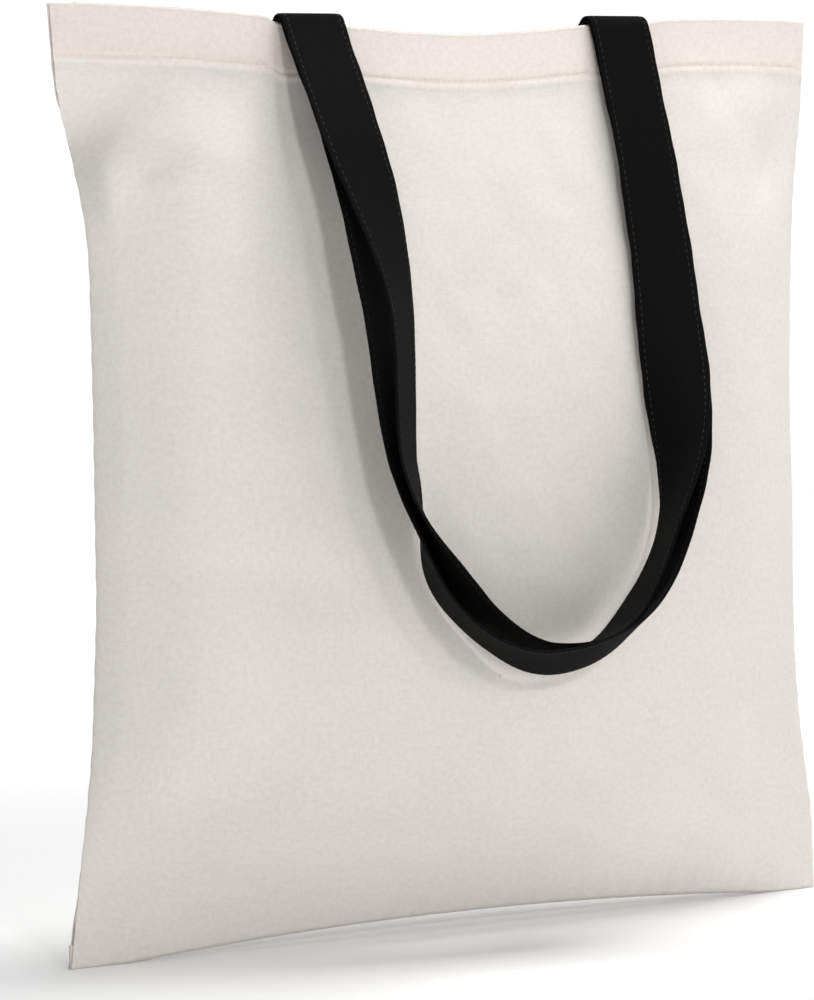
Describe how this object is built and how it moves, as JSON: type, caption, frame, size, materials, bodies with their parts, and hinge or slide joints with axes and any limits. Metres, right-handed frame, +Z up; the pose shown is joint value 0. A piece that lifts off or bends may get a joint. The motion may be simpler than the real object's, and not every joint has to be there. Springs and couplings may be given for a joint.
{
  "type": "canvas tote bag",
  "caption": "Flat open-topped canvas tote bag with a turned hem and two web handles that fold forward over the mouth or lift upright.",
  "frame": {"origin": "middle of the bag's whole outline, handles included, seen from above, on the plane its two bottom corners stand on", "axes": "+X to the right seen from the front, +Y from the front panel and handles towards the back panel, +Z up from the bottom seam to the mouth"},
  "size_m": [0.381, 0.1319, 0.4062],
  "materials": {
    "canvas": "matte plain-weave cotton",
    "canvas_hem": "matte plain-weave cotton, turned double",
    "black_web": "matte woven cotton web",
    "cream_thread": "matte sewing thread",
    "black_thread": "matte sewing thread"
  },
  "bodies": {
    "bag": {"front_panel": "canvas", "back_panel": "canvas", "front_hem": "canvas_hem", "back_hem": "canvas_hem", "left_side_seam": "canvas", "right_side_seam": "canvas", "bottom_seam": "canvas", "front_handle_left_end": "black_web", "front_handle_right_end": "black_web", "rear_handle_left_end": "black_web", "rear_handle_right_end": "black_web", "front_hem_stitching": "cream_thread", "back_hem_stitching": "cream_thread", "front_tack_stitching": "black_thread", "rear_tack_stitching": "black_thread"},
    "front_handle": {"front_handle": "black_web", "front_handle_stitching": "black_thread"},
    "rear_handle": {"rear_handle": "black_web", "rear_handle_stitching": "black_thread"}
  },
  "joints": [
    {"name": "front_handle_lift", "type": "hinge", "parent": "bag", "child": "front_handle", "pos_m": [0, 0.007, 0.4018], "axis": [-0.9999, 0, -0.0156], "range_deg": [0, 160]},
    {"name": "rear_handle_lift", "type": "hinge", "parent": "bag", "child": "rear_handle", "pos_m": [0, 0.007, 0.4018], "axis": [-0.9999, 0, -0.0156], "range_deg": [0, 160]}
  ],
  "couplings": [
    {"joint": "rear_handle_lift", "follows": "front_handle_lift", "ratio": 1}
  ]
}
